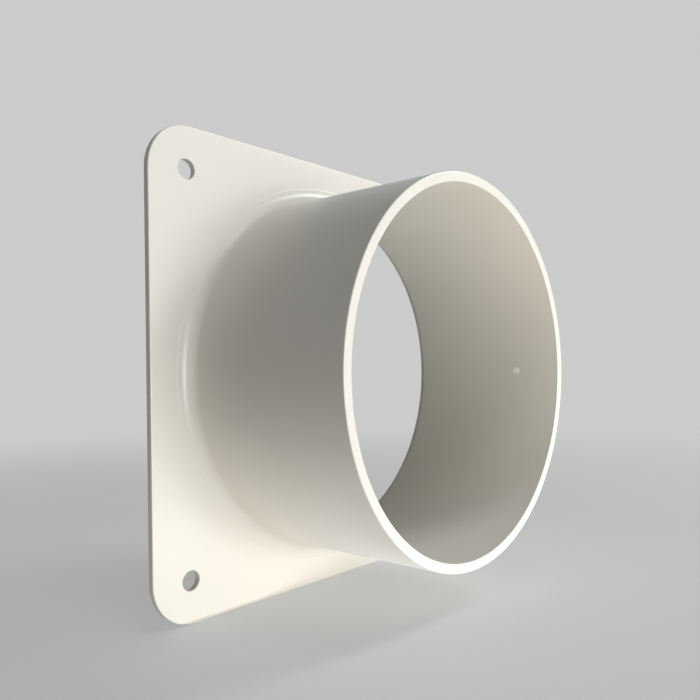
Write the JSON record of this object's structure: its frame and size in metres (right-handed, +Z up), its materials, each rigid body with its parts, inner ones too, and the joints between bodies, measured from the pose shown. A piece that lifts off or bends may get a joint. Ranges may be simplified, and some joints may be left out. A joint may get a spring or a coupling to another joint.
{
  "type": "duct connector",
  "caption": "Square screw-on plate with a round spigot that joins a round air duct to a wall, box or panel.",
  "frame": {"origin": "where the axis of the bore meets the back of the plate, which is also the centre of the four screw holes", "axes": "+Z up, the plate upright with its back on the plane y = 0, the spigot pointing to -Y along the bore"},
  "size_m": [0.1226, 0.0524, 0.1226],
  "materials": {
    "white_plastic": "satin off-white moulded plastic"
  },
  "bodies": {
    "root": {"duct_connector": "white_plastic"}
  },
  "joints": []
}
